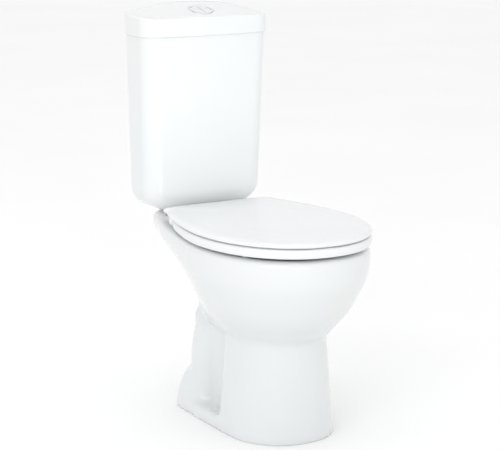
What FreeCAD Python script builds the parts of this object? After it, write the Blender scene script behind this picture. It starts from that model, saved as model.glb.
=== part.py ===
import FreeCAD, Part
import Sketcher
import math
import os
import re

# A close coupled toilet: floor-standing pan, cistern bolted on its rear deck, dual flush
# valve, fill valve, push buttons, and a seat ring and lid on a common hinge.
# Millimetres. +Z is up, -Y is the front, +X is the left hand of someone sitting on it.
# The origin is on the floor, midway between the two floor fixing holes.

os.makedirs("parts", exist_ok=True)
doc = FreeCAD.newDocument("close_coupled_toilet")
V = FreeCAD.Vector

# ---------------------------------------------------------------- driving dimensions

SIZES = {
    # pan
    "rim_z": 398, "rim_w": 177, "rim_front": -317, "widest_y": -86,
    "deck_z": 407, "deck_w": 95, "deck_front": 180, "deck_back": 284, "deck_plate": 22,
    "crease_z": 205, "crease_w": 97, "crease_front": -214,
    "foot_w": 116, "foot_front": -226, "foot_back": 168, "foot_thick": 26,
    "column_back": -40, "trap_w": 68, "bulge_w": 88, "bulge_back": 132, "trap_back": 110,
    "bowl_w": 139, "bowl_front": -279, "bowl_back": 94, "bowl_floor_z": 150,
    "trap_bore": 34, "outlet_z": 182, "outlet_r": 51, "outlet_bore": 44, "outlet_end": 160,
    "outlet_collar": 137,
    "fixing_x": 90, "fixing_hole": 5,
    "inlet_y": 238, "inlet_r": 18, "inlet_z": 376, "recess_r": 36, "recess_z": 388,
    # cistern and its lid
    "tank_base_z": 411, "tank_top_z": 790, "tank_w": 148, "tank_front": 167, "tank_back": 283,
    "tank_wall": 9, "tank_floor_z": 426, "tank_lean": 13, "tank_taper": 8,
    "cover_gap": 0.3, "cover_over": 3.5, "cover_side": 39, "cover_slope": 12.5, "cover_ends": 20,
    "cover_wall": 7, "cover_round": 3,
    "bolt_x": 58, "bolt_y": 238, "bolt_r": 3, "bolt_hole": 5,
    # flush valve
    "valve_y": 238, "valve_r": 25, "tail_r": 24, "tail_z": 385, "tower_r": 33, "tower_z": 640,
    "tube_r": 14, "tube_top": 655,
    # push buttons
    "button_y": 215, "stem_x": 11, "stem_y": 212, "button_r": 22, "housing_r": 26, "flange_sunk": 1.4,
    # fill valve
    "fill_x": 112, "fill_y": 249, "inlet_thread_r": 10.4, "inlet_tail_z": 372, "riser_r": 11,
    "boss_z": 410, "boss_seat_z": 438,
    "float_r": 20, "float_z": 600, "float_height": 70, "fill_head_z": 700,
    # seat
    "seat_z": 404.6, "seat_top_z": 424, "seat_w": 180, "seat_front": -320, "seat_rear_w": 133,
    "seat_back": 132, "lid_z": 425.8, "lid_side_z": 434, "lid_top_z": 439, "lid_back": 158,
    "lid_skin": 5, "hole_w": 116, "hole_front": -252, "hole_back": 76,
    "hinge_y": 134, "hinge_z": 424, "hinge_x": 78, "pin_r": 3.5, "knuckle_r": 7, "post_half": 10,
    "pin_clear": 0.06, "pin_end": 133,
}

sheet = doc.addObject("Spreadsheet::Sheet", "Sizes")
for row, (alias, value) in enumerate(SIZES.items(), start=1):
    sheet.set(f"A{row}", alias)
    sheet.set(f"B{row}", str(value))
    sheet.setAlias(f"B{row}", alias)
doc.recompute()


def size(alias):
    """The value of one driving dimension, read from the sheet."""
    return float(sheet.get(alias))


ALIAS = r"\b[a-z][a-z_]+\b"


def formula(text):
    """An expression in the document's own terms: every alias becomes Sizes.alias."""
    def written_out(match):
        word = match.group(0)
        return "Sizes." + word if word in SIZES else word

    return re.sub(ALIAS, written_out, str(text))


# ---------------------------------------------------------------- document helpers

nodes = []


def node(obj, label):
    """Mark an object as a finished sub-part: its label names its file."""
    obj.Label = label
    nodes.append(obj)
    return obj


def drive(obj, **properties):
    """Bind an object's properties to formulas over the sheet's cells."""
    for name, text in properties.items():
        obj.setExpression(name.replace("_at_", "Placement.Base."), formula(text))
    return obj


def cylinder(radius, height, x, y, z, along="z"):
    """A bound cylinder that starts at x, y, z and runs along +Z, +X or +Y."""
    obj = doc.addObject("Part::Cylinder", "Cylinder")
    turn = {"z": FreeCAD.Rotation(), "x": FreeCAD.Rotation(V(0, 1, 0), 90),
            "y": FreeCAD.Rotation(V(1, 0, 0), -90)}[along]
    obj.Placement = FreeCAD.Placement(V(0, 0, 0), turn)
    return drive(obj, Radius=radius, Height=height, _at_x=x, _at_y=y, _at_z=z)


def box(length, width, height, x, y, z):
    """A bound box from its lowest corner."""
    obj = doc.addObject("Part::Box", "Box")
    return drive(obj, Length=length, Width=width, Height=height, _at_x=x, _at_y=y, _at_z=z)


def fuse(*shapes):
    obj = doc.addObject("Part::MultiFuse", "Fuse")
    obj.Shapes = list(shapes)
    return obj


def cut(base, *tools):
    obj = doc.addObject("Part::Cut", "Cut")
    obj.Base = base
    obj.Tool = tools[0] if len(tools) == 1 else fuse(*tools)
    return obj


def group(*shapes):
    """Identical fasteners kept as separate solids in one node."""
    obj = doc.addObject("Part::Compound", "Group")
    obj.Links = list(shapes)
    return obj


def ring(outer, inner, height, x, y, z):
    """A flat washer or collar."""
    return cut(cylinder(outer, height, x, y, z), cylinder(inner, f"{height} + 2", x, y, f"{z} - 1"))


def freeform(shape, label):
    """A cast or moulded free-form piece, worked out from the sheet's values."""
    obj = doc.addObject("Part::Feature", "Freeform")
    obj.Shape = shape
    obj.Placement = FreeCAD.Placement()
    return node(obj, label)


def turned(label, profile, x, y, z):
    """A turned piece: a sketched half profile of (radius, height) pairs, revolved about its axis."""
    body = doc.addObject("PartDesign::Body", "Body")
    plane = [f for f in body.Origin.OriginFeatures if f.Role == "XZ_Plane"][0]
    sketch = body.newObject("Sketcher::SketchObject", "Profile")
    sketch.AttachmentSupport = [(plane, "")]
    sketch.MapMode = "FlatFace"
    values = [(evaluate(r), evaluate(h)) for r, h in profile]
    count = len(values)
    for i in range(count):
        start = V(values[i][0], values[i][1], 0)
        end = V(values[(i + 1) % count][0], values[(i + 1) % count][1], 0)
        sketch.addGeometry(Part.LineSegment(start, end), False)
    for i in range(count):
        sketch.addConstraint(Sketcher.Constraint("Coincident", i, 2, (i + 1) % count, 1))
    for i, (radius, height) in enumerate(profile):
        pin_down(sketch, "DistanceX", i, values[i][0], radius)
        pin_down(sketch, "DistanceY", i, values[i][1], height)
    turn = body.newObject("PartDesign::Revolution", "Turn")
    turn.Profile = sketch
    turn.ReferenceAxis = (sketch, ["V_Axis"])
    turn.Angle = 360
    drive(body, _at_x=x, _at_y=y, _at_z=z)
    return node(body, label)


def evaluate(text):
    """The number that a formula over the sheet's aliases comes to."""
    return sum_of(re.sub(ALIAS, lambda match: str(size(match.group(0))), str(text)))


def sum_of(text):
    """Adds up a chain of terms such as 31.0 - 4 + 2."""
    terms = text.replace("- ", "+ -").split("+")
    return sum(float(term.replace(" ", "")) for term in terms if term.strip())


def pin_down(sketch, kind, index, value, text):
    """Fix one corner's distance from the sketch's origin, by formula, or onto an axis when zero."""
    if value == 0:
        axis = -2 if kind == "DistanceX" else -1
        sketch.addConstraint(Sketcher.Constraint("PointOnObject", index, 1, axis))
        return
    place = sketch.addConstraint(Sketcher.Constraint(kind, -1, 1, index, 1, value))
    sketch.setExpression(f"Constraints[{place}]", formula(text))


# ---------------------------------------------------------------- outlines and lofts


def half_outline(half_w, front, widest, rear_w, rear, corner, power=2.15):
    """The +X half of a plan outline, from the front centre round to the rear centre."""
    reach = widest - front
    points = []
    for step in range(10):
        angle = math.radians(10 * step)
        x = half_w * math.sin(angle) ** (2 / power)
        points.append((x, widest - reach * math.cos(angle) ** (2 / power)))
    run = rear - corner - widest
    for part in (0.2, 0.4, 0.6, 0.8, 1.0):
        points.append((rear_w + (half_w - rear_w) * (1 - part ** 1.6), widest + run * part))
    for angle in (22.5, 45, 67.5, 90):
        turn = math.radians(angle)
        points.append((rear_w - corner * (1 - math.cos(turn)), rear - corner + corner * math.sin(turn)))
    points.append(((rear_w - corner) * 0.66, rear))
    points.append(((rear_w - corner) * 0.33, rear))
    return points


def closed_wire(half, z):
    """A smooth closed wire through a half outline and its mirror image, at height z."""
    right = [V(x, y, z) for x, y in half]
    left = [V(-x, y, z) for x, y in reversed(half) if x > 1e-6]
    rear = [V(0, half[-1][1], z)]
    curve = Part.BSplineCurve()
    curve.interpolate(Points=right + rear + left, PeriodicFlag=True)
    return Part.Wire([curve.toShape()])


def loft(sections, power=2.15, ruled=False):
    """A solid through sections of (z, half width, front, widest, rear width, rear, corner)."""
    wires = [closed_wire(half_outline(*s[1:], power=power), s[0]) for s in sections]
    return Part.makeLoft(wires, True, ruled)


def slab(x0, x1, y0, y1, z0, z1):
    return Part.makeBox(x1 - x0, y1 - y0, z1 - z0, V(x0, y0, z0))


def rod(radius, start, end):
    """A plain cylinder between two points."""
    along = end - start
    return Part.makeCylinder(radius, along.Length, start, along)


def rounded_block(half_w, front, back, corner, z):
    """A plan rectangle with rounded corners, centred on the middle plane."""
    edges = []
    turns = [(half_w, front, 270), (half_w, back, 0), (-half_w, back, 90), (-half_w, front, 180)]
    ends = []
    for x, y, first in turns:
        centre = V(x - math.copysign(corner, x), y + (corner if y == front else -corner), z)
        stops = [math.radians(first + part) for part in (0, 45, 90)]
        ends.append([centre + V(corner * math.cos(a), corner * math.sin(a), 0) for a in stops])
    for index, (start, middle, end) in enumerate(ends):
        edges.append(Part.LineSegment(ends[index - 1][2], start).toShape())
        edges.append(Part.Arc(start, middle, end).toShape())
    return Part.Wire(edges)


def block_loft(sections):
    """A solid through rounded rectangles of (z, half width, front, back, corner)."""
    return Part.makeLoft([rounded_block(*s[1:], s[0]) for s in sections], True, False)


# ---------------------------------------------------------------- pan


def outer_section(z, half_w, rear_w, rear, corner=26):
    """One level of the bowl's outside: the front follows the width from the rim to the crease."""
    share = (half_w - size("crease_w")) / (size("rim_w") - size("crease_w"))
    front = size("crease_front") + share * (size("rim_front") - size("crease_front"))
    widest = -77 + share * (size("widest_y") + 77)
    return (z, half_w, front, widest, rear_w, rear, corner)


def bowl_outside():
    rim = size("rim_z")
    back = size("deck_back")
    deck = size("deck_w")
    w = size("rim_w")
    levels = [
        (rim, w - 5, deck - 3, back - 3),
        (rim - 2, w - 1.6, deck, back - 1),
        (rim - 7, w, deck + 1, back),
        (rim - 27, w, deck + 1, back - 12),
        (rim - 48, w - 1.5, deck - 4, back - 54),
        (rim - 68, w - 6.5, deck - 13, back - 90),
        (rim - 93, w - 17, deck - 18, back - 117),
        (rim - 124, w - 31, deck - 24, back - 138),
        (rim - 150, w - 47, deck - 29, back - 148),
        (size("crease_z") + 20, size("crease_w") + 16, deck - 31, back - 152),
        (size("crease_z") - 3, size("crease_w") - 6, deck - 33, back - 156),
    ]
    return loft([outer_section(*level) for level in levels])


def column():
    """The broad front column of the pedestal, flaring a little at the floor."""
    back = size("column_back")
    levels = [(0, size("foot_w"), size("foot_front")), (30, size("foot_w") - 4, size("foot_front") + 1),
              (90, size("crease_w") + 9, size("foot_front") + 3),
              (165, size("crease_w") + 3, size("foot_front") + 8),
              (size("crease_z") + 30, size("crease_w") - 4, size("crease_front") + 5)]
    return loft([(z, w, front, -96, w - 3, back, 18) for z, w, front in levels], power=2.17)


def foot_plate():
    """The flange round the floor line that carries the fixing holes."""
    thick = size("foot_thick")
    levels = [(0, 0), (thick - 8, 1), (thick - 2, 3), (thick, 6)]
    return loft([(z, size("foot_w") - inset, size("foot_front") + inset, -77, 108 - inset,
                  size("foot_back") - inset, 40) for z, inset in levels], power=2.17)


def rear_foot():
    """The flared support under the outlet."""
    back = size("foot_back")
    return block_loft([(0, 106, 48, back - 2, 30), (36, 99, 54, back - 2, 30),
                       (66, 88, 58, back - 5, 30), (92, 82, 62, back - 24, 30),
                       (112, 76, 68, back - 38, 28)])


def trap_body():
    """The casing round the trap, bulging behind a shallow upright channel."""
    w = size("trap_w")
    back = size("trap_back")
    core = block_loft([(0, w, -120, back, 18), (130, w, -120, back, 18), (204, w, -120, back + 8, 20),
                       (250, w - 2, -110, back + 18, 20), (300, w - 4, -80, back + 22, 20)])
    wide = size("bulge_w")
    rear = size("bulge_back")
    bulge = block_loft([(0, wide, 42, rear - 4, 36), (90, wide, 44, rear, 36),
                        (150, wide - 3, 48, rear, 36), (196, wide - 12, 54, rear - 3, 36),
                        (232, wide - 26, 62, rear - 6, 28)])
    return core.fuse(bulge)


def bowl_cavity():
    w = size("bowl_w")
    front = size("bowl_front")
    back = size("bowl_back")
    rim = size("rim_z")
    floor = size("bowl_floor_z")
    levels = [(rim + 6, w + 4, front - 4, back + 4), (rim, w + 2, front - 2, back + 2),
              (rim - 4, w, front, back), (rim - 28, w + 2, front - 2, back + 3),
              (rim - 62, w - 1, front + 3, back - 3), (rim - 94, w - 11, front + 18, back - 18),
              (rim - 124, w - 26, front + 40, back - 38), (rim - 152, w - 45, front + 72, back - 60),
              (rim - 178, w - 65, front + 110, back - 86), (rim - 205, w - 84, front + 142, back - 112),
              (rim - 228, w - 98, front + 166, back - 132), (floor, w - 106, front + 180, back - 142)]
    return loft([(z, hw, f, (f + b) / 2 - 8, hw * 0.72, b, hw * 0.3) for z, hw, f, b in levels])


def filleted_path(corners, radii):
    """A wire in the middle plane: straight runs joined by tangent arcs."""
    points = [V(0, y, z) for y, z in corners]
    edges = []
    start = points[0]
    for before, corner, after, radius in zip(points, points[1:], points[2:], radii):
        toward = (before - corner).normalize()
        away = (after - corner).normalize()
        half = toward.getAngle(away) / 2
        setback = radius / math.tan(half)
        first = corner + toward * setback
        last = corner + away * setback
        middle = corner + (toward + away).normalize() * (radius / math.sin(half) - radius)
        edges.append(Part.LineSegment(start, first).toShape())
        edges.append(Part.Arc(first, middle, last).toShape())
        start = last
    edges.append(Part.LineSegment(start, points[-1]).toShape())
    return Part.Wire(edges)


def trapway():
    """The water passage: down from the bowl, over the weir and out through the spigot."""
    outlet = size("outlet_z")
    corners = [(-74, 178), (-30, 38), (46, 276), (101, outlet), (size("outlet_end") - 20, outlet)]
    path = filleted_path(corners, [38, 36, 38])
    start = path.Edges[0].Vertexes[0].Point
    heading = path.Edges[0].tangentAt(path.Edges[0].FirstParameter)
    circle = Part.Wire([Part.Circle(start, heading, size("trap_bore")).toShape()])
    return path.makePipeShell([circle], True, False)


def build_pan():
    rim = size("rim_z")
    deck_z = size("deck_z")
    w = size("deck_w")
    outlet = size("outlet_z")
    end = size("outlet_end")
    platform = block_loft([(rim - 12, w - 5, size("deck_front"), size("deck_back") - 6, 16),
                           (deck_z - 3, w - 5, size("deck_front") + 3, size("deck_back") - 6, 16),
                           (deck_z - 0.8, w - 6, size("deck_front") + 4, size("deck_back") - 7, 16),
                           (deck_z, w - 8, size("deck_front") + 6, size("deck_back") - 9, 15)])
    spigot = rod(size("outlet_r"), V(0, 60, outlet), V(0, end, outlet))
    collar = rod(size("outlet_r") + 4, V(0, 60, outlet), V(0, size("outlet_collar"), outlet))
    body = bowl_outside().multiFuse([column(), foot_plate(), rear_foot(), trap_body(), platform, spigot,
                                     collar])
    spigot_bore = rod(size("outlet_bore"), V(0, end - 34, outlet), V(0, end + 2, outlet))
    inlet = V(0, size("inlet_y"), size("inlet_z"))
    recess = rod(size("recess_r"), V(0, inlet.y, size("recess_z")), V(0, inlet.y, deck_z + 5))
    inlet_down = rod(size("valve_r"), inlet + V(0, 0, 4), V(0, inlet.y, deck_z))
    inlet_bend = Part.makeSphere(size("inlet_r"), inlet)
    inlet_along = rod(size("inlet_r"), V(0, size("bowl_back") - 30, inlet.z - 30), inlet)
    tools = [bowl_cavity(), trapway(), spigot_bore, recess, inlet_down, inlet_bend, inlet_along]
    under_plate = deck_z - size("deck_plate")
    for side in (-1, 1):
        inner, outer = sorted((side * 36, side * (w - 12)))
        tools.append(slab(inner, outer, 224, size("deck_back") + 10, 300, under_plate))
        bolt = V(side * size("bolt_x"), size("bolt_y"), under_plate - 5)
        tools.append(rod(size("bolt_hole"), bolt, bolt + V(0, 0, 60)))
        seat = V(side * size("hinge_x"), size("hinge_y") - 10, rim - 44)
        tools.append(rod(8, seat, seat + V(0, 0, 60)))
        fixing = V(side * size("fixing_x"), 0, -5)
        tools.append(rod(size("fixing_hole"), fixing, fixing + V(0, 0, 60)))
    tools.append(loft([(-1, 100, -210, -96, 97, -58, 18), (70, 92, -208, -96, 89, -60, 18)], power=2.17))
    tools.append(slab(-44, 44, -45, 60, -1, 56))
    tools.append(block_loft([(-1, 84, 62, 146, 18), (40, 74, 70, 140, 18), (96, 44, 80, 116, 12)]))
    pan = body.cut(tools[0])
    for tool in tools[1:]:
        pan = pan.cut(tool)
    solids = sorted(pan.Solids, key=lambda s: s.Volume)
    return solids[-1]


freeform(build_pan(), "pan")

# ---------------------------------------------------------------- cistern


def tank_base():
    """Levels of the cistern's underside, from its narrow foot out to the full plan."""
    base = size("tank_base_z")
    w = size("tank_w") - size("tank_taper")
    front = size("tank_front") + size("tank_lean")
    back = size("tank_back")
    return [(base, w - 53, front + 26, back - 7, 40), (base + 8, w - 35, front + 14, back - 3, 40),
            (base + 21, w - 14, front + 5, back - 0.5, 40), (base + 35, w - 4, front + 1.2, back, 40),
            (base + 52, w, front, back, 40)]


def tank_rim(over=0):
    """The level of the cistern's open rim, or one that much above it."""
    return (size("tank_top_z") + over, size("tank_w"), size("tank_front"), size("tank_back"), 40)


def moved_in(levels, wall):
    """The same levels moved in by a wall's thickness."""
    return [(z, w - wall, front + wall, back - wall, corner - wall)
            for z, w, front, back, corner in levels]


FRONT_RADIUS = 900
BACK_CORNER = 12


def bowed_wire(z, half_w, front, back, corner):
    """A D-shaped plan: one long front arc, round front corners, straight sides and back."""
    reach = math.sqrt((FRONT_RADIUS - corner) ** 2 - (half_w - corner) ** 2)
    hub = V(0, front + FRONT_RADIUS, z)
    knee = V(half_w - corner, hub.y - reach, z)
    toe = hub + (knee - hub) * (FRONT_RADIUS / (FRONT_RADIUS - corner))
    outward = (V(1, 0, 0) + (toe - knee).normalize()).normalize()
    shoulder = knee + outward * corner
    side = knee + V(corner, 0, 0)
    heel = V(half_w, back - BACK_CORNER, z)
    turn = BACK_CORNER * (1 - math.sqrt(0.5))
    heel_mid = V(half_w - turn, back - turn, z)
    heel_end = V(half_w - BACK_CORNER, back, z)

    def mirrored(point):
        return V(-point.x, point.y, point.z)

    return Part.Wire([
        Part.Arc(mirrored(toe), V(0, front, z), toe).toShape(),
        Part.Arc(toe, shoulder, side).toShape(),
        Part.LineSegment(side, heel).toShape(),
        Part.Arc(heel, heel_mid, heel_end).toShape(),
        Part.LineSegment(heel_end, mirrored(heel_end)).toShape(),
        Part.Arc(mirrored(heel_end), mirrored(heel_mid), mirrored(heel)).toShape(),
        Part.LineSegment(mirrored(heel), mirrored(side)).toShape(),
        Part.Arc(mirrored(side), mirrored(shoulder), mirrored(toe)).toShape(),
    ])


def bowed(sections, ruled=False):
    """A solid through D-shaped levels of (z, half width, front, back, front corner)."""
    return Part.makeLoft([bowed_wire(*section) for section in sections], True, ruled)


WALL_HOLE_X = 75
WALL_HOLE_Z = 720


def build_tank():
    wall = size("tank_wall")
    base = tank_base()
    outside = bowed(base).fuse(bowed([base[-1], tank_rim()], ruled=True))
    floor = (size("tank_floor_z"), base[2][1] - 10, base[2][2] + 3, base[2][3] - 3, 40)
    low = moved_in([floor] + base[2:], wall)
    inside = bowed(low, ruled=True).fuse(bowed([low[-1], moved_in([tank_rim(4)], wall)[0]], ruled=True))
    inlet = V(size("fill_x"), size("fill_y"), 0)
    boss = rod(18, inlet + V(0, 0, size("boss_z")), inlet + V(0, 0, size("boss_seat_z") + 2))
    seat = rod(18, inlet + V(0, 0, size("boss_seat_z")), inlet + V(0, 0, size("boss_seat_z") + 30))
    tank = outside.cut(inside).fuse(boss).cut(seat)
    drill = [rod(size("valve_r"), V(0, size("valve_y"), 400), V(0, size("valve_y"), 440)),
             rod(11, inlet + V(0, 0, 400), inlet + V(0, 0, 450))]
    for side in (-1, 1):
        drill.append(rod(size("bolt_hole"), V(side * size("bolt_x"), size("bolt_y"), 400),
                         V(side * size("bolt_x"), size("bolt_y"), 440)))
        drill.append(rod(4, V(side * WALL_HOLE_X, size("tank_back") - 20, WALL_HOLE_Z),
                         V(side * WALL_HOLE_X, size("tank_back") + 5, WALL_HOLE_Z)))
    for hole in drill:
        tank = tank.cut(hole)
    return sorted(tank.Solids, key=lambda s: s.Volume)[-1]


freeform(build_tank(), "cistern_body")


def cover_rise():
    """How much the cover's top climbs from its front edge to its back edge, on the middle plane."""
    depth = size("tank_back") - size("tank_front") + size("cover_over")
    return depth * math.tan(math.radians(size("cover_slope")))


def under_dome(drop):
    """The space below the cover's top: level along the front, arched along the back, that much lower."""
    front = size("tank_front") - size("cover_over")
    back = size("tank_back")
    low = size("tank_top_z") - 40
    crest = size("tank_top_z") + size("cover_gap") + size("cover_side") - drop
    reach = size("tank_w") + size("cover_over")
    wires = []
    for y, middle, end in ((front, crest, crest - 1.5),
                           (back, crest + cover_rise(), crest + cover_rise() - size("cover_ends"))):
        corners = [V(reach, y, end), V(reach, y, low), V(-reach, y, low), V(-reach, y, end)]
        edges = [Part.LineSegment(a, b).toShape() for a, b in zip(corners, corners[1:])]
        edges.append(Part.Arc(corners[3], V(0, y, middle), corners[0]).toShape())
        wires.append(Part.Wire(edges))
    return Part.makeLoft(wires, True, True)


def sloped_slab(low, high):
    """Everything between two planes that follow the cover's slope through the button's centre."""
    reach = 90
    slab_shape = Part.makeBox(2 * reach, 2 * reach, high - low, V(-reach, -reach, low))
    slab_shape.Placement = FreeCAD.Placement(V(0, size("button_y"), BUTTON_Z),
                                             FreeCAD.Rotation(V(1, 0, 0), size("cover_slope")))
    return slab_shape


FRONT_EDGE_Z = size("tank_top_z") + size("cover_gap") + size("cover_side")
BUTTON_Z = FRONT_EDGE_Z + (size("button_y") - size("tank_front") + size("cover_over")) * math.tan(
    math.radians(size("cover_slope")))
NUT_SEAT = 15


def upright_wall(low, high, inset, back_inset, corner):
    """A straight-sided block that follows the cover's plan, moved in from its edge."""
    level = (size("tank_w") + size("cover_over") - inset,
             size("tank_front") - size("cover_over") + inset, size("tank_back") - back_inset, corner)
    return bowed([(low, *level), (high, *level)], ruled=True)


def build_cover():
    """The lift-off ceramic lid: its top climbs towards the back and is arched from side to side."""
    low = size("tank_top_z") + size("cover_gap")
    top = low + size("cover_side") + 60
    w = size("tank_w") + size("cover_over")
    front = size("tank_front") - size("cover_over")
    back = size("tank_back")
    outside = bowed([(low, w - 1.4, front + 1.4, back - 1.4, 40), (low + 1.6, w, front, back, 41),
                     (top, w, front, back, 41)], ruled=True).common(under_dome(0))
    crest = [edge for edge in outside.Edges
             if edge.BoundBox.ZMin > FRONT_EDGE_Z - 30 and edge.BoundBox.ZLength < 30]
    outside = outside.makeFillet(size("cover_round"), crest)
    inside = upright_wall(low - 1, top, 12, 10, 32).common(under_dome(size("cover_wall")))
    centre = V(0, size("button_y"), low)
    boss = rod(size("housing_r") + 7, V(0, centre.y, BUTTON_Z - NUT_SEAT), V(0, centre.y, BUTTON_Z - 2))
    hole = rod(size("housing_r") - 2.6, centre, centre + V(0, 0, 90))
    seat = rod(size("housing_r") + 3, centre, centre + V(0, 0, 90))
    seat = seat.common(sloped_slab(-size("flange_sunk"), 20))
    lip_outer = upright_wall(low - 8, low + 6, 14.5, 12.5, 31)
    lip_inner = upright_wall(low - 9, low + 7, 20, 18, 28)
    ledge = upright_wall(low, low + 6, 10, 8, 33)
    cover = outside.cut(inside).fuse(ledge.cut(lip_inner)).fuse(lip_outer.cut(lip_inner))
    cover = cover.fuse(boss.common(under_dome(2))).cut(hole).cut(seat)
    return sorted(cover.Solids, key=lambda s: s.Volume)[-1]


freeform(build_cover(), "cistern_lid")

# ---------------------------------------------------------------- seat and lid


def seat_plan(inset, rear, z):
    """One level of the seat's outer outline, moved in by an inset."""
    return (z, size("seat_w") - inset, size("seat_front") + inset, size("widest_y"),
            size("seat_rear_w") - inset, rear - inset, 22)


def hole_plan(z, grow, rear_w, rear_grow, corner=30):
    """One level of the seat's opening, moved out by a margin."""
    return (z, size("hole_w") + grow, size("hole_front") - grow, -92,
            rear_w, size("hole_back") + rear_grow, corner)


def knuckle(inner, outer, radius):
    """Matching hinge barrels on both sides of the middle plane."""
    y = size("hinge_y")
    z = size("hinge_z")
    return [rod(radius, V(side * inner, y, z), V(side * outer, y, z)) for side in (-1, 1)]


def sides(x0, x1, y0, y1, z0, z1):
    """A box and its mirror image across the middle plane."""
    return [slab(x0, x1, y0, y1, z0, z1), slab(-x1, -x0, y0, y1, z0, z1)]


POST_IN = size("hinge_x") - size("post_half")
POST_OUT = size("hinge_x") + size("post_half")
KNUCKLE = 13
GAP = 0.6
RING_KNUCKLES = [(POST_IN - GAP - KNUCKLE, POST_IN - GAP), (POST_OUT + GAP, POST_OUT + GAP + KNUCKLE)]
LID_KNUCKLES = [(POST_IN - 2 * GAP - 2 * KNUCKLE, POST_IN - 2 * GAP - KNUCKLE),
                (POST_OUT + 2 * GAP + KNUCKLE, POST_OUT + 2 * GAP + 2 * KNUCKLE)]


def build_ring():
    low = size("seat_z")
    top = size("seat_top_z")
    back = size("seat_back")
    y = size("hinge_y")
    z = size("hinge_z")
    r = size("knuckle_r")
    edge = [(4, low), (1, low + 2), (0, low + 6), (0, top - 7), (1.5, top - 3), (5, top - 0.8), (9, top)]
    outside = loft([seat_plan(inset, back, level) for inset, level in edge], power=2.14)
    hole = loft([hole_plan(low - 2, 2, 70, 2), hole_plan(low + 6, 0, 68, 0),
                 hole_plan(top - 8, 1, 69, 1), hole_plan(top - 2, 5, 73, 5, 32),
                 hole_plan(top + 3, 13, 81, 12, 34)])
    under = loft([seat_plan(26, back - 60, low - 1), seat_plan(27, back - 60, low + 9)])
    under = under.cut(loft([hole_plan(low - 2, 20, 88, 16), hole_plan(low + 10, 20, 88, 16)]))
    ring = outside.cut(hole).cut(under)
    for inner, outer in RING_KNUCKLES:
        arms = sides(inner, outer, y - 18, y, z - r, z - 0.5)
        ring = ring.multiFuse(knuckle(inner, outer, r) + arms)
    clear = sides(POST_IN - GAP, POST_OUT + GAP, y - 20, back + 5, low - 2, top + 20)
    for inner, outer in LID_KNUCKLES:
        clear += knuckle(inner - GAP, outer + GAP, r + 1)
    clear += knuckle(10, size("pin_end") + 30, size("pin_r") + size("pin_clear"))
    for tool in clear:
        ring = ring.cut(tool)
    return sorted(ring.Solids, key=lambda s: s.Volume)[-1]


freeform(build_ring(), "seat_ring")


def build_lid():
    low = size("lid_z")
    side = size("lid_side_z")
    top = size("lid_top_z")
    back = size("lid_back")
    y = size("hinge_y")
    z = size("hinge_z")
    r = size("knuckle_r")
    skin = size("lid_skin")
    crown = [(2.6, low), (0.6, low + 2), (0, low + 4.5), (1.6, side - 1), (6, side + 1.4),
             (16, side + 2.6), (45, top - 1), (80, top)]
    hollow = [(7, low - 1), (8, low + 3), (14, side - skin + 2)]
    outside = loft([seat_plan(inset, back, level) for inset, level in crown], power=2.14, ruled=True)
    inside = loft([seat_plan(inset, back, level) for inset, level in hollow], power=2.14, ruled=True)
    lid = outside.cut(inside)
    for inner, outer in LID_KNUCKLES:
        necks = sides(inner, outer, y - r, y + r, z, side)
        lid = lid.multiFuse(knuckle(inner, outer, r) + necks)
    clear = sides(POST_IN - GAP, POST_OUT + GAP, y - 12, y + 12, low - 1, z + r + 1.2)
    for inner, outer in RING_KNUCKLES:
        clear += knuckle(inner - GAP / 2, outer + GAP / 2, r + 1)
    clear += knuckle(10, size("pin_end") + 30, size("pin_r") + size("pin_clear"))
    for tool in clear:
        lid = lid.cut(tool)
    return sorted(lid.Solids, key=lambda s: s.Volume)[-1]


freeform(build_lid(), "seat_lid")


def hinge_post(side):
    """A post bolted to the pan, with an eye for the pin at its top."""
    start = f"{side} * hinge_x - post_half"
    stem = box("2 * post_half", 18, "hinge_z - rim_z", start, "hinge_y - 18", "rim_z")
    eye = cylinder("knuckle_r", "2 * post_half", start, "hinge_y", "hinge_z", "x")
    pin_hole = cylinder("pin_r", "2 * post_half + 4", f"{start} - 2", "hinge_y", "hinge_z", "x")
    screw_hole = cylinder(3.1, 60, f"{side} * hinge_x", "hinge_y - 10", "rim_z - 2")
    return cut(fuse(stem, eye), pin_hole, screw_hole)


node(group(*[hinge_post(side) for side in (-1, 1)]), "hinge_posts")


def hinge_screw(side):
    """The screw down through the post into the expanding plug."""
    x = f"{side} * hinge_x"
    return cylinder(3, 48, x, "hinge_y - 10", "rim_z - 34")


node(group(*[hinge_screw(side) for side in (-1, 1)]), "hinge_screws")
node(group(*[ring(7.9, 3, 38, f"{side} * hinge_x", "hinge_y - 10", "rim_z - 38")
             for side in (-1, 1)]), "expanding_plugs")
node(group(cylinder("pin_r", "pin_end - 38", 38, "hinge_y", "hinge_z", "x"),
           cylinder("pin_r", "pin_end - 38", "0 - pin_end", "hinge_y", "hinge_z", "x")), "hinge_pins")


def pads(spots, radius, height, z):
    """Small round rubber buffers."""
    return group(*[cylinder(radius, height, x, y, z) for x, y in spots])


FRONT_PADS = [(-128, -200), (128, -200)]
node(pads([(-128, 20), (128, 20)] + FRONT_PADS, 8, "seat_z - rim_z", "rim_z"), "seat_buffers")
node(pads([(-134, 10), (134, 10)] + FRONT_PADS, 6, "lid_z - seat_top_z + 5", "seat_top_z"),
     "lid_buffers")

# ---------------------------------------------------------------- cistern fixings and coupling

turned("coupling_seal", [("tail_r + 4.5", "0"), ("recess_r - 1", "0"), ("recess_r - 0.5", "18"),
                         ("recess_r + 1", "19.5"), ("recess_r + 0.5", "22.5"), ("tail_r + 4.5", "22.5")],
       "0", "valve_y", "recess_z + 0.5")


def per_bolt(make):
    return group(*[make(f"{side} * bolt_x") for side in (-1, 1)])


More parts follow.
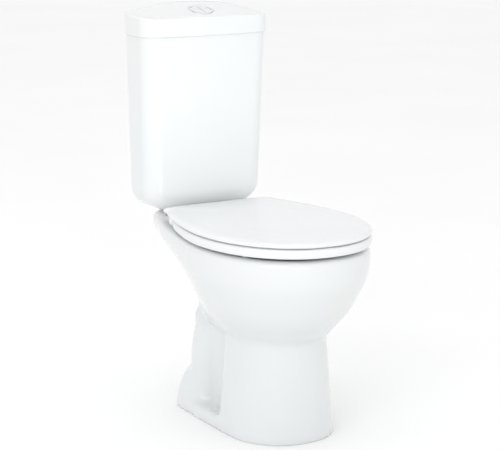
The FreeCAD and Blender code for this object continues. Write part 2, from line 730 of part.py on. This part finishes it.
node(per_bolt(lambda x: fuse(cylinder("bolt_r", 74, x, "bolt_y", "tank_floor_z + 3 - 74"),
                             cylinder(9, 5, x, "bolt_y", "tank_floor_z + 2"))), "cistern_bolts")
node(per_bolt(lambda x: ring(11, "bolt_r", 2, x, "bolt_y", "tank_floor_z")), "bolt_seals")
node(per_bolt(lambda x: ring(10, "bolt_r", 2, x, "bolt_y", "deck_z - deck_plate - 2")), "bolt_washers")


def wing_nut(x):
    z = "deck_z - deck_plate - 11"
    hub = cylinder(6, 9, x, "bolt_y", z)
    wings = box(26, 3, 8, f"{x} - 13", "bolt_y - 1.5", z)
    return cut(fuse(hub, wings), cylinder("bolt_r", 12, x, "bolt_y", f"{z} - 1"))


node(per_bolt(wing_nut), "wing_nuts")

# ---------------------------------------------------------------- flush valve

FLOOR = "tank_floor_z"
turned("flush_valve_base", [("tail_r - 4", "0"), ("tail_r", "0"), ("tail_r", "43"), ("tower_r", "43"),
                            ("tower_r", "48"), ("tail_r - 4", "48")], "0", "valve_y", "tail_z")
node(ring("tower_r - 1", "tail_r", 2, 0, "valve_y", FLOOR), "valve_washer")
turned("valve_back_nut", [("tail_r", "0"), ("tail_r + 2.6", "0"), ("tail_r + 2.6", "14"),
                          ("tail_r", "14")], "0", "valve_y", "tank_base_z - 14")
windows = []
for angle in range(0, 180, 60):
    slot = drive(doc.addObject("Part::Box", "Slot"), Length="2 * tower_r + 10", Width=26, Height=34)
    slot.Placement.Rotation = FreeCAD.Rotation(V(0, 0, 1), angle)
    reach = size("tower_r") + 5
    turn = math.radians(angle)
    slot.Placement.Base = V(-reach * math.cos(turn) + 13 * math.sin(turn),
                            size("valve_y") - reach * math.sin(turn) - 13 * math.cos(turn), 439)
    windows.append(slot)
tower = fuse(ring("tower_r - 1", "tower_r - 5", 50, 0, "valve_y", "tank_floor_z + 7"),
             ring("tower_r - 1", "tube_r + 4", 4, 0, "valve_y", "tank_floor_z + 57"),
             ring("tube_r + 8", "tube_r + 4", "tower_z - tank_floor_z - 57", 0, "valve_y",
                  "tank_floor_z + 57"))
node(cut(tower, *windows), "flush_valve_tower")
node(ring("tube_r", "tube_r - 2", "tube_top - tank_floor_z - 13", 0, "valve_y", "tank_floor_z + 13"),
     "overflow_tube")
turned("valve_seal", [("tube_r - 2", "0"), ("tail_r + 1", "0"), ("tail_r + 1", "3"),
                      ("tube_r - 2", "3.4")], "0", "valve_y", "tank_floor_z + 8.4")
bridge = cut(fuse(ring("tube_r + 12", "tube_r + 8.2", 14, 0, "valve_y", "tower_z - 16"),
                  box(60, 12, 8, -30, "stem_y - 10", "tower_z - 16"),
                  box(60, 4, 30, -30, "stem_y - 10", "tower_z - 16"),
                  box(60, 20, 4, -30, "stem_y - 10", "tower_z + 10")),
             cylinder("tube_r + 8.2", 30, 0, "valve_y", "tower_z - 20"),
             cylinder(5.2, 10, "stem_x", "stem_y", "tower_z + 7"),
             cylinder(5.2, 10, "0 - stem_x", "stem_y", "tower_z + 7"))
node(bridge, "valve_bridge")

# ---------------------------------------------------------------- push buttons

# The cover slopes where the buttons are, so the housing's flange and the buttons' caps slope too.
AT_BUTTON = ("tank_top_z + cover_gap + cover_side"
             " + (button_y - tank_front + cover_over) * tan(cover_slope)")


def along_slope(low, high):
    """A wide bound slab between two planes that follow the cover's slope through the button's centre."""
    obj = drive(doc.addObject("Part::Box", "Slope"), Length=180, Width=180, Height=high - low)
    obj.Placement.Rotation = FreeCAD.Rotation(V(1, 0, 0), size("cover_slope"))
    return drive(obj, _at_x=-90, _at_y=f"button_y - 90 * cos(cover_slope) - ({low}) * sin(cover_slope)",
                 _at_z=f"{AT_BUTTON} - 90 * sin(cover_slope) + ({low}) * cos(cover_slope)")


def both(first, second):
    """The space that two shapes share."""
    obj = doc.addObject("Part::Common", "Common")
    obj.Base = first
    obj.Tool = second
    return obj


def upright(radius, low, high):
    """A bound upright cylinder on the button's axis, between two heights above the cover's surface."""
    return cylinder(radius, high - low, 0, "button_y", f"{AT_BUTTON} + ({low})")


sunk = size("flange_sunk")
flange = both(upright("housing_r", -30, 30), along_slope(-sunk, 1.6))
barrel = both(upright("housing_r - 3", -44, 30), along_slope(-80, -sunk / 2))
node(cut(fuse(flange, barrel), upright("button_r + 0.5", -50, 40)), "button_housing")
nut = cut(upright("housing_r + 6", -NUT_SEAT - 7, -NUT_SEAT), upright("housing_r - 3", -30, -10))
node(nut, "button_nut")


def button(side, label):
    """One half of the round button, with the stem that reaches down to its plunger."""
    stem_x = f"{side} * stem_x"
    cap = both(upright("button_r", -30, 30), along_slope(-4, 1.2))
    tube = cut(upright("button_r", -30, 30), upright("button_r - 1.5", -31, 31))
    skirt = both(tube, along_slope(-14, -3.5))
    keep = box(60, 80, 60, "0.4" if side > 0 else "-60.4", "button_y - 40", f"{AT_BUTTON} - 35")
    socket = cylinder(4.2, 9, stem_x, "stem_y", f"{AT_BUTTON} - 12.5")
    stem = cylinder(3, f"{AT_BUTTON} - 5 - tower_z - 25", stem_x, "stem_y", "tower_z + 25")
    return node(fuse(both(fuse(cap, skirt), keep), socket, stem), label)


button(-1, "full_flush_button")
button(1, "half_flush_button")
for side, label in ((-1, "full_flush_plunger"), (1, "half_flush_plunger")):
    node(fuse(cylinder(5.1, 16, f"{side} * stem_x", "stem_y", "tower_z + 6"),
              cylinder(7, 3, f"{side} * stem_x", "stem_y", "tower_z + 21")), label)

# ---------------------------------------------------------------- fill valve

FX = "fill_x"
FY = "fill_y"
turned("fill_valve_shank", [("4", "0"), ("inlet_thread_r", "0"), ("inlet_thread_r", "27"),
                            ("inlet_thread_r + 0.4", "27"), ("inlet_thread_r + 0.4", "68"), ("17", "68"),
                            ("17", "72"), ("riser_r", "72"), ("riser_r", "328"), ("4", "328")],
       FX, FY, "inlet_tail_z")
node(ring(16.5, "inlet_thread_r + 0.4", 2, FX, FY, "boss_seat_z"), "fill_valve_washer")
node(ring(15, "inlet_thread_r + 0.4", 9, FX, FY, "boss_z - 9"), "fill_valve_nut")
head = fuse(cylinder(17, 22, FX, FY, "fill_head_z"), cylinder(14, 8, FX, FY, "fill_head_z + 22"),
            cylinder(7, 16, "fill_x - 26", FY, "fill_head_z + 11", "x"))
node(head, "fill_valve_head")
node(ring("float_r", "riser_r + 1.2", "float_height", FX, FY, "float_z"), "float_cup")

# ---------------------------------------------------------------- checks and files

doc.recompute()
for obj in doc.Objects:
    if "Invalid" in obj.State or "Error" in obj.State:
        raise RuntimeError(f"{obj.Name} ({obj.Label}) failed: {obj.State}")
for obj in nodes:
    if obj.Shape.isNull() or not obj.Shape.isValid() or not obj.Shape.Solids:
        raise RuntimeError(f"{obj.Label} has no valid solid")
    obj.Shape.exportStep(os.path.join("parts", obj.Label + ".step"))
    limits = obj.Shape.optimalBoundingBox()
    print(f"{obj.Label}: {len(obj.Shape.Solids)} solid, {obj.Shape.Volume / 1000:.1f} cm3,"
          f" z {limits.ZMin:.1f}..{limits.ZMax:.1f}")
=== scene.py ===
import math

import bmesh
import bpy
import numpy as np
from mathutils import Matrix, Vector


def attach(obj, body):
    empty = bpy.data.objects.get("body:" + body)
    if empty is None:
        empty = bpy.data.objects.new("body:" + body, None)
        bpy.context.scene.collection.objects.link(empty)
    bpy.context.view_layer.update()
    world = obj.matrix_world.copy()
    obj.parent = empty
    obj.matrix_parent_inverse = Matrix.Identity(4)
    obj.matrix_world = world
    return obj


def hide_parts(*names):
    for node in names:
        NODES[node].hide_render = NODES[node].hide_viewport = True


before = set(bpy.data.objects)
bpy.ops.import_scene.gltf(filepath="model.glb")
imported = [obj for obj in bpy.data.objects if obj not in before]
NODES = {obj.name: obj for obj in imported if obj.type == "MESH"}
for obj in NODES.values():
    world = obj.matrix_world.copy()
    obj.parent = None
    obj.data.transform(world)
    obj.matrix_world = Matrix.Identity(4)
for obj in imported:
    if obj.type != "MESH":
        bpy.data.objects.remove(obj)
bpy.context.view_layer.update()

# A close coupled toilet: glazed china, a gloss plastic seat and lid, and a chrome push button,
# in the CAD model's own frame, in metres. Scales of noise are in repeats per metre.

# ------------------------------------------------------------------ materials

LOW_STOP = 0.3
HIGH_STOP = 0.7


class Shader:
    """A node material under construction, with helpers for its procedural detail."""

    def __init__(self, name, colour, roughness, **settings):
        self.material = bpy.data.materials.new(name)
        self.material.use_nodes = True
        self.tree = self.material.node_tree
        self.principled = self.tree.nodes["Principled BSDF"]
        self.principled.inputs["Base Color"].default_value = (*colour, 1)
        self.principled.inputs["Roughness"].default_value = roughness
        for key, value in settings.items():
            self.principled.inputs[key.replace("_", " ")].default_value = value
        self.coordinates = self.tree.nodes.new("ShaderNodeTexCoord").outputs["Object"]
        self.relief = None

    def add(self, kind, **settings):
        made = self.tree.nodes.new(kind)
        for key, value in settings.items():
            made.inputs[key].default_value = value
        return made

    def stretched(self, scale):
        """The object's coordinates, scaled unevenly."""
        mapping = self.add("ShaderNodeMapping", Scale=scale)
        self.tree.links.new(self.coordinates, mapping.inputs["Vector"])
        return mapping.outputs["Vector"]

    def noise(self, scale, detail=2.0, stretch=None):
        texture = self.add("ShaderNodeTexNoise", Scale=scale, Detail=detail)
        vector = self.stretched(stretch) if stretch else self.coordinates
        self.tree.links.new(vector, texture.inputs["Vector"])
        return texture.outputs["Fac"]

    def cells(self, scale):
        texture = self.add("ShaderNodeTexVoronoi", Scale=scale)
        self.tree.links.new(self.coordinates, texture.inputs["Vector"])
        return texture.outputs["Distance"]

    def colour_from(self, source, stops):
        """Drives the base colour: stops are (place, colour) pairs in rising order."""
        ramp = self.tree.nodes.new("ShaderNodeValToRGB")
        elements = ramp.color_ramp.elements
        for element, (place, colour) in zip(elements, (stops[0], stops[-1])):
            element.position = place
            element.color = (*colour, 1)
        for place, colour in stops[1:-1]:
            elements.new(place).color = (*colour, 1)
        self.tree.links.new(source, ramp.inputs["Fac"])
        self.tree.links.new(ramp.outputs["Color"], self.principled.inputs["Base Color"])
        return self

    def two_tones(self, source, dark, light):
        return self.colour_from(source, [(LOW_STOP, dark), (HIGH_STOP, light)])

    def roughness_from(self, source, low, high):
        """Spreads the middle of a noise's range over a range of roughness."""
        spread = self.add("ShaderNodeMapRange")
        limits = {"From Min": 0.35, "From Max": 0.65, "To Min": low, "To Max": high}
        for key, value in limits.items():
            spread.inputs[key].default_value = value
        self.tree.links.new(source, spread.inputs["Value"])
        self.tree.links.new(spread.outputs["Result"], self.principled.inputs["Roughness"])
        return self

    def bump_from(self, source, depth):
        """Adds a layer of relief that deep, in metres, on top of any that is there already."""
        bump = self.add("ShaderNodeBump", Strength=1.0, Distance=depth)
        self.tree.links.new(source, bump.inputs["Height"])
        if self.relief:
            self.tree.links.new(self.relief, bump.inputs["Normal"])
        self.relief = bump.outputs["Normal"]
        self.tree.links.new(self.relief, self.principled.inputs["Normal"])
        return self


def glazed_china():
    """Fired white glaze: a slow change of tone, even gloss and the ripple of a dipped coat."""
    china = Shader("glazed_china", (0.8, 0.82, 0.82), 0.1,
                   IOR=1.5, Coat_Weight=0.35, Coat_Roughness=0.03)
    china.colour_from(china.noise(5, 3), [(LOW_STOP, (0.722, 0.748, 0.758)),
                                          (0.5, (0.734, 0.756, 0.762)),
                                          (HIGH_STOP, (0.748, 0.76, 0.758))])
    china.roughness_from(china.noise(34, 3), 0.06, 0.15)
    china.bump_from(china.noise(14, 1), 0.00035)
    return china.bump_from(china.noise(240, 2), 0.000012).material


def gloss_plastic(name, cool, warm, rough):
    """Moulded thermoset: almost even colour, faint flow marks and a very fine moulded texture."""
    plastic = Shader(name, cool, rough, IOR=1.5, Coat_Weight=0.15, Coat_Roughness=0.04)
    plastic.two_tones(plastic.noise(7, 2), cool, warm)
    plastic.roughness_from(plastic.noise(60, 4), rough * 0.7, rough * 1.4)
    plastic.bump_from(plastic.noise(9, 1), 0.00012)
    return plastic.bump_from(plastic.noise(900, 3), 0.000006).material


def satin_plastic(name, dark, light, rough):
    """Injection moulded parts that carry a spark-eroded grain."""
    plastic = Shader(name, dark, rough, IOR=1.46)
    plastic.two_tones(plastic.noise(30, 3), dark, light)
    plastic.roughness_from(plastic.noise(220, 3), rough * 0.85, min(1.0, rough * 1.2))
    return plastic.bump_from(plastic.noise(1600, 3), 0.00003).material


def plated(name):
    """Bright plating with handling marks and the slight unevenness of a polished moulding."""
    metal = Shader(name, (0.78, 0.79, 0.8), 0.08, Metallic=1.0)
    metal.two_tones(metal.noise(40, 2), (0.84, 0.85, 0.87), (0.92, 0.92, 0.93))
    metal.roughness_from(metal.noise(260, 5, (1, 12, 1)), 0.04, 0.16)
    metal.bump_from(metal.noise(60, 1), 0.00004)
    return metal.bump_from(metal.noise(700, 2, (1, 20, 1)), 0.000004).material


def machined(name):
    """Plain stainless bar and sheet with a drawn grain along its length."""
    metal = Shader(name, (0.6, 0.6, 0.61), 0.3, Metallic=1.0)
    metal.two_tones(metal.noise(120, 3), (0.52, 0.52, 0.53), (0.66, 0.66, 0.66))
    metal.roughness_from(metal.noise(500, 4, (8, 1, 1)), 0.22, 0.42)
    return metal.bump_from(metal.noise(1500, 2, (10, 1, 1)), 0.00001).material


def elastic(name, dark, light, rough, pores):
    """Rubber and foam: dull, with a fine pore relief."""
    rubber = Shader(name, dark, rough, IOR=1.45)
    rubber.two_tones(rubber.noise(90, 4), dark, light)
    rubber.roughness_from(rubber.noise(300, 2), rough * 0.9, min(1.0, rough * 1.15))
    return rubber.bump_from(rubber.cells(pores), 0.00006).material


FINISHES = {
    "glaze": glazed_china(),
    "seat_plastic": gloss_plastic("seat_plastic_gloss",
                                  (0.76, 0.772, 0.785), (0.775, 0.785, 0.795), 0.1),
    "hinge_plastic": gloss_plastic("hinge_plastic_gloss",
                                   (0.78, 0.79, 0.8), (0.82, 0.82, 0.82), 0.25),
    "steel": machined("stainless"),
    "rubber": elastic("rubber_black", (0.02, 0.02, 0.02), (0.045, 0.045, 0.045), 0.6, 900),
    "buffer_rubber": elastic("rubber_pale", (0.7, 0.7, 0.69), (0.78, 0.78, 0.76), 0.55, 900),
    "foam_rubber": elastic("foam_black", (0.03, 0.03, 0.03), (0.06, 0.06, 0.06), 0.85, 420),
    "valve_plastic": satin_plastic("valve_plastic_white",
                                   (0.78, 0.79, 0.77), (0.84, 0.84, 0.82), 0.4),
    "valve_grey": satin_plastic("valve_plastic_grey",
                                (0.32, 0.34, 0.37), (0.38, 0.4, 0.43), 0.42),
    "chrome": plated("chrome_plate"),
}


def slot_of(node):
    """The finish that the CAD model names for a node."""
    return NODES[node].data.materials[0].name.split(".")[0]


SLOT_OF_NODE = {name: slot_of(name) for name in NODES}

# ------------------------------------------------------------------ china and mouldings


def linked(name, data):
    """A new object that shows a mesh, light or camera, put in the scene."""
    made = bpy.data.objects.new(name, data)
    bpy.context.scene.collection.objects.link(made)
    return made


def finished(piece, body, *nodes):
    """Gives a piece the finish of the node it stands for, and sets it riding."""
    slot = SLOT_OF_NODE[nodes[0]]
    piece.data.materials.clear()
    piece.data.materials.append(FINISHES[slot])
    piece.data.polygons.foreach_set("use_smooth", [True] * len(piece.data.polygons))
    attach(piece, body)
    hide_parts(*nodes)
    return piece


FLOOR_LAYER = 0.0005


def relaxed(mesh, rounds, freedom):
    """Softens a dense mesh's edges, as glaze does; freedom says how freely each point moves."""
    count = len(mesh.vertices)
    points = np.empty(count * 3, np.float32)
    mesh.vertices.foreach_get("co", points)
    points = points.reshape(-1, 3).astype(float)
    ends = np.empty(len(mesh.edges) * 2, np.int32)
    mesh.edges.foreach_get("vertices", ends)
    a, b = ends.reshape(-1, 2).T
    degree = np.bincount(a, minlength=count) + np.bincount(b, minlength=count)
    share = 0.5 * freedom(points)[:, None]
    on_floor = points[:, 2] < FLOOR_LAYER
    for _ in range(rounds):
        sums = np.stack([np.bincount(a, points[b, k], count) + np.bincount(b, points[a, k], count)
                         for k in range(3)], axis=1)
        points += share * (sums / degree[:, None] - points)
        points[on_floor, 2] = 0
    mesh.vertices.foreach_set("co", points.astype(np.float32).ravel())
    mesh.update()


WELD = 0.00002
SHARP_ANGLE = math.radians(28)


def welded(node, name):
    """A copy of a node's surface as one connected mesh, creased only at its true edges."""
    form = bmesh.new()
    form.from_mesh(NODES[node].data)
    bmesh.ops.remove_doubles(form, verts=form.verts, dist=WELD)
    for edge in form.edges:
        edge.smooth = len(edge.link_faces) == 2 and edge.calc_face_angle() < SHARP_ANGLE
    mesh = bpy.data.meshes.new(name)
    form.to_mesh(mesh)
    form.free()
    if "custom_normal" in mesh.attributes:
        mesh.attributes.remove(mesh.attributes["custom_normal"])
    return linked(name, mesh)


def cast(node, body, name, voxel, rounds, freedom):
    """A soft-edged copy of a cast piece: evenly remeshed, then relaxed."""
    piece = welded(node, name)
    remesh = piece.modifiers.new("even", "REMESH")
    remesh.mode = "VOXEL"
    remesh.voxel_size = voxel
    evaluated = piece.evaluated_get(bpy.context.evaluated_depsgraph_get())
    even = bpy.data.meshes.new_from_object(evaluated)
    piece.modifiers.clear()
    piece.data = even
    relaxed(even, rounds, freedom)
    return finished(piece, body, node)


# x, y and the radius that is held, round the floor fixings, seat screws, cistern bolts and inlet.
PAN_HOLES = ((-0.090, 0.0, 0.020), (0.090, 0.0, 0.020),
             (-0.078, 0.124, 0.018), (0.078, 0.124, 0.018),
             (-0.058, 0.238, 0.015), (0.058, 0.238, 0.015), (0.0, 0.238, 0.046))
FOOT_TOP = 0.05
DECK_UNDERSIDE = 0.34
SPIGOT_START = 0.132
SPIGOT_LOW = 0.13
SPIGOT_HIGH = 0.24
HOLE_FREEDOM = 0.12
SPIGOT_FREEDOM = 0.2


def pan_freedom(points):
    """Full away from the fixing holes, the inlet and the spigot, which have to keep their size."""
    x, y, z = points.T
    free = np.ones(len(points))
    in_foot_or_deck = (z > DECK_UNDERSIDE) | (z < FOOT_TOP)
    for hole_x, hole_y, reach in PAN_HOLES:
        free[(np.hypot(x - hole_x, y - hole_y) < reach) & in_foot_or_deck] = HOLE_FREEDOM
    free[(y > SPIGOT_START) & (z < SPIGOT_HIGH) & (z > SPIGOT_LOW)] = SPIGOT_FREEDOM
    return free


PAN_VOXEL = 0.004
PAN_ROUNDS = 20
WELDED_PIECES = (("cistern_body", "frame", "cistern_china"),
                 ("cistern_lid", "cistern_lid", "cistern_lid_china"),
                 ("seat_ring", "seat_ring", "ring_moulding"),
                 ("seat_lid", "seat_lid", "lid_moulding"))

cast("pan", "frame", "pan_china", PAN_VOXEL, PAN_ROUNDS, pan_freedom)
for node, body, name in WELDED_PIECES:
    finished(welded(node, name), body, node)

# ------------------------------------------------------------------ finishes of the other pieces

for name, shown in NODES.items():
    for index in range(len(shown.data.materials)):
        shown.data.materials[index] = FINISHES[SLOT_OF_NODE[name]]

# ------------------------------------------------------------------ studio

CAMERA_AT = (-1.951, -3.370, 1.218)
CAMERA_TURN = (78.30, 0.0, -30.02)
CAMERA_LENS = 137.84
SENSOR_WIDTH = 36
FLOOR_REACH = 40.0
DAYLIGHT = 0.96
MIDDLE = (0, 0, 0.45)
CISTERN_FACE = (0, 0.2, 0.72)
# name, place, target, side of the square light, power and spread in degrees
LIGHTS = (("key", (-3.4, -2.6, 2.6), MIDDLE, 2.4, 34, 180),
          ("cistern", (-1.0, -2.9, 1.25), CISTERN_FACE, 0.9, 0.82, 22),
          ("top", (0, 0.2, 3.4), MIDDLE, 2.6, 7, 180))


def studio_material():
    paper = Shader("studio_paper", (0.9, 0.9, 0.9), 0.9)
    paper.two_tones(paper.noise(1.5, 3), (0.96, 0.96, 0.96), (0.98, 0.98, 0.98))
    return paper.bump_from(paper.noise(300, 3), 0.00005).material


def floor():
    r = FLOOR_REACH
    mesh = bpy.data.meshes.new("floor")
    mesh.from_pydata([(-r, -r, 0), (r, -r, 0), (r, r, 0), (-r, r, 0)], [], [(0, 1, 2, 3)])
    mesh.materials.append(studio_material())
    linked("floor", mesh)


def area_light(name, place, target, side, power, spread):
    data = bpy.data.lights.new(name, "AREA")
    data.shape = "RECTANGLE"
    data.size = side
    data.size_y = side
    data.energy = power
    data.spread = math.radians(spread)
    made = linked(name, data)
    made.location = place
    aim = Vector(target) - Vector(place)
    made.rotation_euler = aim.to_track_quat("-Z", "Y").to_euler()


def studio():
    """A pale floor under even daylight, three soft lights and the camera at the photo's angle."""
    floor()
    world = bpy.data.worlds.new("studio")
    world.use_nodes = True
    background = world.node_tree.nodes["Background"]
    background.inputs["Color"].default_value = (1.0, 1.0, 1.0, 1)
    background.inputs["Strength"].default_value = DAYLIGHT
    bpy.context.scene.world = world
    for light in LIGHTS:
        area_light(*light)
    camera = bpy.data.cameras.new("camera")
    camera.lens = CAMERA_LENS
    camera.sensor_width = SENSOR_WIDTH
    camera.clip_end = 200
    made = linked("camera", camera)
    made.location = CAMERA_AT
    made.rotation_euler = [math.radians(angle) for angle in CAMERA_TURN]
    bpy.context.scene.camera = made
    bpy.context.scene.view_settings.view_transform = "Standard"


studio()
